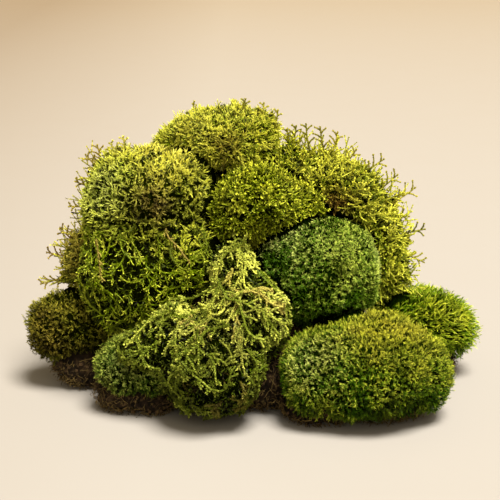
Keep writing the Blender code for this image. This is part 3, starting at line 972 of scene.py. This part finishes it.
# The sprays and the trailing strands as the solids have them: root and tip of a spray, and points
# of a strand as seen from the front, across and up.
SPRAYS = {
    "crown_mound": [
        ((-2, 20, 117), (-2, 20, 125)),
        ((5, 20, 116), (6, 21, 123)),
        ((10, 21, 113), (12, 21, 120)),
        ((-22, 31, 113), (-25, 37, 120)),
    ],
    "right_rear_mound": [
        ((16, 28, 103), (16, 27, 111)),
        ((18, 28, 103), (20, 28, 112)),
        ((26, 27, 103), (24, 27, 113)),
        ((32, 27, 101), (30, 26, 112)),
        ((35, 28, 99), (38, 29, 109)),
        ((40, 27, 92), (46, 26, 102)),
        ((47, 26, 89), (58, 25, 98)),
        ((53, 26, 81), (64, 25, 91)),
        ((58, 26, 77), (72, 26, 85)),
        ((61, 27, 71), (70, 27, 72)),
        ((65, 27, 63), (77, 28, 66)),
        ((67, 27, 55), (77, 27, 51)),
        ((46, 47, 82), (53, 56, 89)),
    ],
    "left_rear_mound": [
        ((-59, 26, 97), (-61, 25, 103)),
        ((-64, 27, 94), (-66, 27, 104)),
        ((-66, 26, 92), (-71, 25, 100)),
        ((-68, 26, 85), (-76, 25, 88)),
        ((-72, 25, 77), (-79, 24, 77)),
        ((-75, 24, 61), (-83, 23, 68)),
        ((-78, 23, 54), (-89, 22, 57)),
        ((-82, 22, 46), (-92, 20, 43)),
    ],
    "upper_left_mound": [((-51, 9, 104), (-53, 8, 111)), ((-54, 9, 102), (-59, 9, 108))],
    "back_mound": [
        ((-20, 56, 82), (-24, 63, 89)),
        ((4, 58, 72), (7, 66, 77)),
        ((-42, 52, 48), (-49, 60, 53)),
        ((22, 62, 54), (27, 70, 59)),
        ((40, 60, 40), (48, 67, 44)),
    ],
}
FORKS = (
    (0.3, 0.24, 1), (0.45, 0.34, -1), (0.6, 0.24, 1), (0.72, 0.34, 1), (0.84, 0.24, -1),
    (0.93, 0.22, 1), (0.2, 0.3, -1),
)
FORK_ANGLE = math.radians(50)
BARE_STRANDS = [((-35, 78), (-31, 72), (-28, 67), (-24, 62)), ((-62, 70), (-60, 62), (-60, 55))]
CREST = np.array((-7.0, -18.0, 74.0))  # where the trailing strands start
STRANDS = [
    ((-10, 59), (-18, 54), (-25, 50), (-31, 48), (-34, 45), (-40, 42), (-46, 39), (-51, 33)),
    ((-31, 47), (-35, 42), (-37, 36)),
    ((-12, 57), (-16, 49)),
    ((-11, 58), (-8, 53), (-3, 52), (4, 50), (10, 46), (14, 41)),
    ((-4, 51), (-2, 43), (1, 40), (7, 37)),
    ((4, 50), (7, 44), (11, 39), (15, 38)),
    ((-8, 45), (-18, 44), (-20, 40), (-26, 36), (-31, 35)),
    ((-19, 43), (-20, 32)),
    ((-23, 36), (-25, 31), (-29, 27), (-33, 20)),
    ((-25, 31), (-19, 27), (-14, 22)),
    ((-17, 37), (-15, 32), (-13, 26)),
    ((-2, 37), (1, 29), (1, 20), (0, 13)),
    ((-4, 71), (-10, 66), (-12, 58)),
    ((-4, 71), (1, 69), (4, 65)),
]


# Materials.


def add_node(tree, kind, inputs=None, stops=(), **settings):
    """Adds a node, applies its settings and a ramp's stops, each a place and a linear colour, and
    links or sets its inputs by name or number. It gives the node's outputs."""
    node = tree.nodes.new("ShaderNode" + kind)
    for setting, value in settings.items():
        setattr(node, setting, value)
    for _ in stops[2:]:
        node.color_ramp.elements.new(0.5)
    if stops:
        for element, (place, colour) in zip(node.color_ramp.elements, stops):
            element.position, element.color = place, (*colour, 1.0)
    for key, value in (inputs or {}).items():
        socket = node.inputs[key]
        if isinstance(value, bpy.types.NodeSocket):
            tree.links.new(value, socket)
        else:
            socket.default_value = value
    return node.outputs


def new_material(name, roughness, shine):
    """A material with a Principled shader: its tree, the shader's inputs, and the place of each
    point in the piece's own coordinates."""
    material = bpy.data.materials.new(name)
    material.use_nodes = True
    tree = material.node_tree
    shader = tree.nodes["Principled BSDF"].inputs
    shader["Roughness"].default_value = roughness
    shader["Specular IOR Level"].default_value = shine
    return material, tree, shader, add_node(tree, "TexCoord")["Object"]


def tone_parts(tree):
    """Age, yellowing, dryness and frost, which each leaf carries."""
    tone = add_node(tree, "Attribute", attribute_name="tone")
    part = add_node(tree, "SeparateColor", {"Color": tone["Color"]})
    return part["Red"], part["Green"], part["Blue"], tone["Alpha"]


def mottled(tree, place, width, low, high, detail=2.0, base=0.0):
    """The base plus noise from low to high, in blotches `width` millimetres wide, from 0 to 1."""
    blotch = {"Vector": place, "Scale": 1 / (width * MM), "Detail": detail}
    blotch = add_node(tree, "TexNoise", blotch)["Fac"]
    blotch = add_node(tree, "MapRange", {"Value": blotch, "To Min": low, "To Max": high})
    total = {0: base, 1: blotch["Result"]}
    return add_node(tree, "Math", total, operation="ADD", use_clamp=True)["Value"]


def roughen(tree, shader, place, width, depth, strength, detail=2.0):
    """Bumps of noise, `width` and `depth` in millimetres, in the shader's normal."""
    grain = {"Vector": place, "Scale": 1 / (width * MM), "Detail": detail}
    grain = add_node(tree, "TexNoise", grain)["Fac"]
    bump = {"Height": grain, "Strength": strength, "Distance": depth * MM}
    tree.links.new(add_node(tree, "Bump", bump)["Normal"], shader["Normal"])


def living_moss(name, look):
    """Living moss: nearly black old leaves between the shoots, fresh green above them and light
    young tips; the dark between the shoots is partly old leaves and partly painted shade, which
    gives the depth. Yellowed, dry brown and pale frosted patches follow the tone that each leaf
    carries, and the yellowing is partly real and partly painted light on the lit tops. Fine
    mottling keeps the leaves from being one flat colour."""
    material, tree, shader, place = new_material(name, 0.5, 0.06)
    age, yellowing, dryness, frost = tone_parts(tree)
    age = mottled(tree, place, 2.2, -0.25, 0.25, base=age)
    stops = ((0.1, look.old), (0.55, look.grown), (1.0, look.young))
    green = add_node(tree, "ValToRGB", {"Fac": age}, stops)["Color"]
    # The yellowed tips are partly real yellowing and partly painted light on the lit tops.
    stops = ((0.15, look.old), (1.0, look.yellow))
    sunny = add_node(tree, "ValToRGB", {"Fac": age}, stops)["Color"]
    stops = ((0.0, look.old), (0.8, look.dry))
    withered = add_node(tree, "ValToRGB", {"Fac": age}, stops)["Color"]
    sun = add_node(tree, "MapRange", {"Value": yellowing, "To Max": 0.8})["Result"]
    colour = add_node(tree, "Mix", {0: sun, 6: green, 7: sunny}, data_type="RGBA")[2]
    colour = add_node(tree, "Mix", {0: dryness, 6: colour, 7: withered}, data_type="RGBA")[2]
    tips = {"Value": age, "From Min": 0.5, "From Max": 0.95}
    pale = {0: add_node(tree, "MapRange", tips)["Result"], 1: frost}
    pale = add_node(tree, "Math", pale, operation="MULTIPLY", use_clamp=True)["Value"]
    colour = {0: pale, 6: colour, 7: (*look.frost, 1.0)}
    tree.links.new(add_node(tree, "Mix", colour, data_type="RGBA")[2], shader["Base Color"])
    tree.links.new(mottled(tree, place, 0.9, 0.35, 0.6), shader["Roughness"])
    roughen(tree, shader, place, 0.35, 0.1, 0.35)
    return material


def felt_and_painted_shade(name, look):
    """The felt of old stems under the shoots: nearly black with no shine, mottled with the dark
    green of leaves that lie deep in it. The near black is partly the old stems and partly
    painted shade between the shoots."""
    material, tree, shader, place = new_material(name, 1.0, 0.0)
    litter = mottled(tree, place, 1.1, 0.0, 0.7, 4.0, tone_parts(tree)[0])
    stops = ((0.3, look.old), (0.65, [0.09 * value for value in look.grown]))
    colour = add_node(tree, "ValToRGB", {"Fac": litter}, stops)["Color"]
    tree.links.new(colour, shader["Base Color"])
    roughen(tree, shader, place, 0.8, 0.5, 0.8, 4.0)
    return material


def crumbly_soil(look):
    """Darker earth in the hollows and lighter earth on the high crumbs, dead matt, with grains
    under a millimetre in its bump; root threads and dead shoots are paler."""
    material, tree, shader, place = new_material("crumbly_soil", 0.9, 0.15)
    height, _, roots, _ = tone_parts(tree)
    height = mottled(tree, place, 1.4, -0.45, 0.45, 4.0, height)
    stops = ((0.1, look.soil_in_hollows), (0.5, look.earth), (0.95, look.soil_on_crumbs))
    earth = add_node(tree, "ValToRGB", {"Fac": height}, stops)["Color"]
    colour = {0: roots, 6: earth, 7: (*look.roots, 1.0)}
    tree.links.new(add_node(tree, "Mix", colour, data_type="RGBA")[2], shader["Base Color"])
    tree.links.new(mottled(tree, place, 1.1, 0.75, 1.0), shader["Roughness"])
    roughen(tree, shader, place, 0.7, 0.4, 0.7, 4.0)
    return material


def floor_material(look):
    """Pale matt paper, darker far behind the clump and most of all at the far left: painted shade
    where the light falls off.
    """
    material, tree, shader, place = new_material("pale_floor", 0.9, 0.1)
    axes = add_node(tree, "SeparateXYZ", {"Vector": place})
    depth = {"Value": axes["Y"], "From Min": 0.05, "From Max": 2.1}
    depth = add_node(tree, "MapRange", depth)["Result"]
    depth = mottled(tree, place, 40, 0.0, 0.06, base=depth)
    colour = {0: depth, 6: (*look.near, 1.0), 7: (*look.far, 1.0)}
    colour = add_node(tree, "Mix", colour, data_type="RGBA")[2]
    side = {"Value": axes["X"], "From Min": -0.04, "From Max": -0.36, "To Max": 0.9}
    side = add_node(tree, "MapRange", side)["Result"]
    colour = {0: side, 6: colour, 7: (*look.corner, 1.0)}
    dark = add_node(tree, "Mix", colour, data_type="RGBA", blend_type="MULTIPLY")[2]
    tree.links.new(dark, shader["Base Color"])
    return material


# Operators.


def dress(node, seed, grow, depth, fill, lump, inset=0.0, cover=None):
    """Grows one moss in place of its solid: the felt, `depth` below the tips, its cover and what
    `grow` adds. `fill`, `lump` and `inset` shape the form below, as filled_form says."""
    look = getattr(bpy.context.scene.moss_clump, node)
    rng = np.random.default_rng(seed)
    form, growth, spots = filled_form(node, fill, lump, inset), Growth(), SPOTS.get(node, [])

    def patch_of(points):
        return patches(points, spots, seed)

    grow_mat(growth, form, depth, seed, patch_of)
    if cover:
        grow_cover(growth, form, depth, patch_of, cover, rng)
    grow(growth, form, look, spots, rng)
    materials = (living_moss(node + "_moss", look), felt_and_painted_shade(node + "_felt", look))
    piece = build_piece(node + "_leaves", growth, materials)
    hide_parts(node)


class MOSS_OT_soil_lumps(bpy.types.Operator):
    """Make the soil lumps crumbly, with loose crumbs, root threads and dead shoots"""

    bl_idname = "moss.soil_lumps"
    bl_label = "Soil lumps"

    def execute(self, context):
        look = context.scene.moss_clump.soil
        material = crumbly_soil(look)
        for seed, node in enumerate(SOIL_NODES, start=70):
            rng = np.random.default_rng(seed)
            voxel = 2.2 if node == "soil_heap" else 1.5  # the heap is large, and mostly hidden
            form, growth = even_form(node, voxel, relax=2), Growth()
            find_open(form, node)
            grow_crust(growth, form, seed)
            grow_crumbs(growth, form, look.crumb / MM, rng)
            grow_threads(growth, form, look.thread / MM, rng)
            grow_dead_shoots(growth, form, rng)
            piece = build_piece(node + "_crumbs", growth, (material,))
            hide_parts(node)
        return {"FINISHED"}


def soil_tones(count, roots=0.0):
    """The tone of soil, with the share of the root threads' colour in it."""
    tones = np.tile((1.0, 0.0, 0.0, 0.0), (count, 1))
    tones[:, 2] = roots
    return tones


def grow_crust(growth, form, seed):
    """The crumbly skin of a soil lump: the form sunk by noise of three widths."""
    rough = 0.6 * noise(form.places, 5.0, seed) + 0.5 * noise(form.places, 2.4, seed + 1)
    rough = rough + 0.3 * noise(form.places, 1.3, seed + 2)
    places = form.places + form.normals * (0.9 * rough - 0.9)[:, None]
    # Darker where the skin is sunk and lighter where it stands out.
    growth.add(places, form.quads, tones_of(soil_tones(len(places)), 0.35 + 0.5 * rough))


def grow_crumbs(growth, form, size, rng):
    """Loose crumbs: cubes whose corners are pushed in and out at random, half sunk."""
    points, normals = scatter(form, 2.6, rng, 0.2)
    corner = np.array(list(itertools.product((-1.0, 1.0), repeat=3)))
    scale = size * rng.uniform(0.35, 1.0, (len(points), 1, 1))
    bodies = corner * scale * rng.uniform(0.45, 0.95, (len(points), 8, 3))
    places = (points - normals * 0.5)[:, None] + bodies
    sides = ((0, 1, 3, 2), (4, 6, 7, 5), (0, 4, 5, 1), (2, 3, 7, 6), (0, 2, 6, 4), (1, 5, 7, 3))
    quads = np.arange(len(points))[:, None, None] * 8 + np.array(sides)
    age = np.broadcast_to(rng.uniform(0.15, 0.95, (len(points), 1)), (len(points), 8))
    growth.add(places, quads, tones_of(soil_tones(len(points)), age))


def grow_threads(growth, form, size, rng):
    """Root threads that lie over the soil: thin tubes along short walks."""
    points, normals = scatter(form, 3.6, rng, 0.2)
    heading = unit(np.cross(normals, rng.normal(0, 1, points.shape)))
    paths, ups, _ = walk(form, points, heading, rng, steps=5, step=size / 5, fall=0.15, wander=0.7)
    axes = paths + ups * rng.uniform(-0.4, 0.9, (len(points), 6, 1))
    patch = soil_tones(len(points), rng.uniform(0.2, 0.9, len(points)))
    grow_stems(growth, axes, (0.15, 0.06), patch, (0.5, 0.7))


def grow_dead_shoots(growth, form, rng):
    """Dead brown shoots that stand out of the soil and hang, with a few narrow leaves on each."""
    points, normals = scatter(form, 1.9, rng, 0.3)
    heading = unit(normals + rng.normal(0, 0.6, points.shape) - 0.5 * UP)
    length = rng.uniform(0.6, 2.8, (len(points), 1))
    sway = np.cross(heading, rng.normal(0, 0.3, points.shape)) * length
    axes = bent_axes(points - 0.6 * heading, points + heading * length, sway, 3)
    patch = soil_tones(len(points), np.clip(rng.uniform(-0.1, 0.5, len(points)), 0, 1))
    leaf, lean, ages = (1.6, 0.45), math.radians(42), (0.2, 0.95)
    grow_leaves(growth, axes, 6, leaf, lean, patch, ages, rng, widest=0.0)


class MOSS_OT_cushions(bpy.types.Operator):
    """Grow the fine-leaved cushions at the front and the left"""

    bl_idname = "moss.cushions"
    bl_label = "Fine-leaved cushions"

    nodes = ("front_right_cushion", "front_left_cushion", "left_cushion")

    def execute(self, context):
        for seed, node in enumerate(self.nodes, start=1):
            dress_cushion(node, seed, depth=3.2)
        return {"FINISHED"}


def dress_cushion(node, seed, depth):
    """Dresses one cushion of single shoots."""
    habit = CUSHION_HABITS[node]

    def grow(growth, form, look, spots, rng):
        grow_cushion(growth, form, look, habit, spots, seed, rng)

    dress(node, seed, grow, depth, fill=0.35, lump=0.9)


class MOSS_OT_dark_cushion(bpy.types.Operator):
    """Grow the round bluish cushion with curled, frosted leaves"""

    bl_idname = "moss.dark_cushion"
    bl_label = "Dark cushion"

    def execute(self, context):
        dress_cushion("dark_cushion", 4, depth=3.0)
        return {"FINISHED"}


class MOSS_OT_right_cushion(bpy.types.Operator):
    """Grow the cushion of long shoots, combed outwards like fur"""

    bl_idname = "moss.right_cushion"
    bl_label = "Combed cushion"

    def execute(self, context):
        dress_cushion("right_cushion", 5, depth=4.5)
        return {"FINISHED"}


class MOSS_OT_trailing_mound(bpy.types.Operator):
    """Lay the long branched strands over the front mound"""

    bl_idname = "moss.trailing_mound"
    bl_label = "Trailing mound"

    def execute(self, context):
        bed = dict(depth=3.6, fill=0.5, lump=1.2, cover=DARK_COVER)
        dress("trailing_mound", 6, grow_trailing, **bed)
        return {"FINISHED"}


def grow_trailing(growth, form, look, spots, rng):
    """Two layers of strands that fan out from the crest and hang, the lower one darker, partly old
    leaves and partly painted shade under the upper one, and the drawn strands on top. Strands are
    lighter towards the crest, a painted light on the top of the mound, and one in fourteen is dry."""
    for number, layer in enumerate((TRAILING_LOWER, TRAILING_UPPER)):
        points, normals = scatter(form, 7.6, rng)
        away = unit(points - CREST)
        turned = away + 0.6 * unit(np.cross(normals, rng.normal(0, 1, points.shape))) - 0.2 * UP
        starts, course = points - 9.0 * away, dict(steps=12, step=1.6, fall=0.05, wander=0.3)
        paths, ups, opens = walk(form, starts, unit(turned), rng, **course)
        kept = opens > 0.55
        patch = patches(points[kept], spots, 60 + number, (0.2, 0.02, 0.0))
        # Painted light: lighter up the mound, towards the crest.
        patch[:, 0] *= rng.uniform(0.34, 0.68, len(patch)) + 0.48 * up_the_mound(points[kept, 2])
        patch[:, 2] += 0.45 * (rng.random(len(patch)) < 0.07)
        grow_strands(growth, paths[kept], ups[kept], look, patch, rng, layer)
    lay_strands(growth, form, look, STRANDS, 0.03, rng, TRAILING_DRAWN)


def up_the_mound(heights):
    """0 near the ground and 1 near the crest of the trailing mound."""
    return np.clip((heights - 18.0) / 45.0, 0.0, 1.0)


def lay_strands(growth, form, look, strands, dryness, rng, layer):
    """Strands through drawn points, dropped on to the form from the front and waved a little."""
    tree = BVHTree.FromPolygons(form.places.tolist(), form.quads.tolist())
    for number, strand in enumerate(strands):
        hits = [tree.ray_cast(Vector((x, -200.0, z)), Vector((0, 1, 0)))[0] for x, z in strand]
        found = np.array([tuple(hit) for hit in hits if hit is not None])
        path, _ = point_on(found[None], np.linspace(0, 1, 4 * len(found))[None])
        place, normal, _ = form.nearest(path[0])
        place = place + 2.4 * noise_vectors(place, 8.0, 90 + number)
        place = place + 0.9 * noise_vectors(place, 2.6, 190 + number)
        path, ups = smoothed_lines(place[None], 2), unit(smoothed_lines(normal[None], 6))
        # Painted light: lighter up the mound, towards the crest.
        light = 0.58 + 0.38 * up_the_mound(place[:, 2].mean())
        patch = np.array(((light, 0.25, dryness, 0.0),))
        grow_strands(growth, path, ups, look, patch, rng, layer)


class MOSS_OT_upper_left_mound(bpy.types.Operator):
    """Grow the large round mound and the strands that hang below it"""

    bl_idname = "moss.upper_left_mound"
    bl_label = "Upper left mound"

    def execute(self, context):
        bed = dict(depth=3.8, fill=1.0, lump=2.0, cover=DARK_COVER)
        dress("upper_left_mound", 7, grow_upper_left, **bed)
        return {"FINISHED"}


def grow_upper_left(growth, form, look, spots, rng):
    """Forked sprigs above, and hanging strands below, in a darker and a lighter layer, all a
    little darkened as painted shade under the mound.
    """
    habit = FEATHER_HABITS["upper_left_mound"]
    grow_feathers(growth, form, look, habit, spots, 7, rng, lowest=70.0)
    for number, (spacing, layer) in enumerate(((9.5, HANGING_LOWER), (7.7, HANGING_UPPER))):
        points, normals = scatter(form, spacing, rng)
        points, normals = points[points[:, 2] < 82], normals[points[:, 2] < 82]
        heading = unit(np.cross(normals, rng.normal(0, 1.0, points.shape)) - UP)
        course = dict(steps=11, step=1.7, fall=0.16, wander=0.26)
        paths, ups, opens = walk(form, points, heading, rng, **course)
        kept = opens > 0.6
        # The hanging strands are darkened to 0.86: painted shade under the mound.
        patch = patches(points[kept], spots, 64 + number, (0.05, 0.02, 0.0)) * (0.86, 1, 1, 1)
        grow_strands(growth, paths[kept], ups[kept], look, patch, rng, layer)
    lay_strands(growth, form, look, BARE_STRANDS, 0.75, rng, BARE)
    grow_sprays(growth, SPRAYS["upper_left_mound"], spots, 7, rng, habit["even"])


class MOSS_OT_feather_mounds(bpy.types.Operator):
    """Grow the mounds of forked sprigs, with the sprays that stand out of them"""

    bl_idname = "moss.feather_mounds"
    bl_label = "Feather mounds"

    nodes = ("middle_mound", "crown_mound", "right_rear_mound", "left_rear_mound", "back_mound")

    def execute(self, context):
        for seed, node in enumerate(self.nodes, start=8):
            dress_feathers(node, seed)
        return {"FINISHED"}


def dress_feathers(node, seed):
    """Dresses one mound of sprigs."""
    habit = FEATHER_HABITS[node]

    def grow(growth, form, look, spots, rng):
        grow_feathers(growth, form, look, habit, spots, seed, rng)
        if node in SPRAYS:
            grow_sprays(growth, SPRAYS[node], spots, seed, rng, habit["even"])

    bed = dict(depth=4.0, fill=1.0, lump=2.2, inset=habit["inset"], cover=LEAF_COVER)
    dress(node, seed, grow, **bed)


class MOSS_OT_stage(bpy.types.Operator):
    """Set up the pale floor, the soft light and the camera"""

    bl_idname = "moss.stage"
    bl_label = "Stage"

    def execute(self, context):
        look = context.scene.moss_clump.stage
        make_floor(look)
        make_light()
        make_camera(look)
        return {"FINISHED"}


def make_floor(look):
    """A flat square of floor that fills the picture."""
    reach = 9.0
    mesh = bpy.data.meshes.new("floor")
    corners = ((-reach, -reach, 0), (reach, -reach, 0), (reach, reach, 0), (-reach, reach, 0))
    mesh.from_pydata(corners, [], [(0, 1, 2, 3)])
    mesh.materials.append(floor_material(look))
    floor = bpy.data.objects.new("floor", mesh)
    bpy.context.scene.collection.objects.link(floor)


def add_sun(name, towards, strength, angle, colour):
    """A soft sun that shines from `towards`."""
    light = bpy.data.lights.new(name, "SUN")
    light.energy, light.angle, light.color = strength, math.radians(angle), colour
    lamp = bpy.data.objects.new(name, light)
    lamp.rotation_mode = "QUATERNION"
    lamp.rotation_quaternion = Vector(towards).to_track_quat("Z", "Y")
    bpy.context.scene.collection.objects.link(lamp)


def make_light():
    """A wide key from above, a little in front and on the right, a weak fill from the front, and
    an even warm sky."""
    add_sun("key", (0.24, -0.3, 1.0), strength=8.7, angle=26, colour=(1.0, 0.94, 0.82))
    add_sun("fill", (0.1, -0.9, 0.6), strength=0.9, angle=50, colour=(1.0, 0.92, 0.74))
    world = bpy.data.worlds.new("sky")
    world.use_nodes = True
    sky = world.node_tree.nodes["Background"]
    sky.inputs["Color"].default_value = (0.95, 0.74, 0.42, 1.0)
    sky.inputs["Strength"].default_value = 0.45
    bpy.context.scene.world = world
    bpy.context.scene.view_settings.view_transform = "Standard"


def make_camera(look):
    """The photograph's camera: TILT above the horizon, aimed at the clump's middle."""
    back = Vector((0.0, -math.cos(TILT), math.sin(TILT)))
    data = bpy.data.cameras.new("camera")
    data.sensor_width = 36.0
    data.lens = 18.0 * look.distance / (250 * PIXEL * MM)  # half of 36 for half of 500 pixels
    data.clip_start, data.clip_end = 0.01, 50.0
    camera = bpy.data.objects.new("camera", data)
    camera.location = Vector((0.0, 0.0, look.aim)) + back * look.distance
    camera.rotation_mode = "QUATERNION"
    camera.rotation_quaternion = (-back).to_track_quat("-Z", "Y")
    bpy.context.scene.collection.objects.link(camera)
    bpy.context.scene.camera = camera


class MOSS_PT_clump(bpy.types.Panel):
    """The clump's operators and settings."""

    bl_idname = "MOSS_PT_clump"
    bl_label = "Moss Clump"
    bl_space_type = "VIEW_3D"
    bl_region_type = "UI"
    bl_category = "Moss"

    def draw(self, context):
        clump = context.scene.moss_clump
        for operator in OPERATORS:
            self.layout.operator(operator.bl_idname)
        for name in (*MOSS_SETTINGS, "soil", "stage"):
            box = self.layout.box()
            box.label(text=name.replace("_", " ").capitalize())
            group = getattr(clump, name)
            for field in group.__annotations__:
                box.prop(group, field)


OPERATORS = (
    MOSS_OT_stage,
    MOSS_OT_soil_lumps,
    MOSS_OT_cushions,
    MOSS_OT_dark_cushion,
    MOSS_OT_right_cushion,
    MOSS_OT_trailing_mound,
    MOSS_OT_upper_left_mound,
    MOSS_OT_feather_mounds,
)
GROUPS = (*MOSS_SETTINGS.values(), SoilSettings, StageSettings, ClumpSettings)
CLASSES = (*GROUPS, *OPERATORS, MOSS_PT_clump)


def register():
    for cls in CLASSES:
        bpy.utils.register_class(cls)
    bpy.types.Scene.moss_clump = PointerProperty(type=ClumpSettings)


def unregister():
    del bpy.types.Scene.moss_clump
    for cls in reversed(CLASSES):
        bpy.utils.unregister_class(cls)


def main():
    """Makes everything in order."""
    register()
    for operator in OPERATORS:
        group, name = operator.bl_idname.split(".")
        getattr(getattr(bpy.ops, group), name)()


if __name__ == "__main__":
    main()
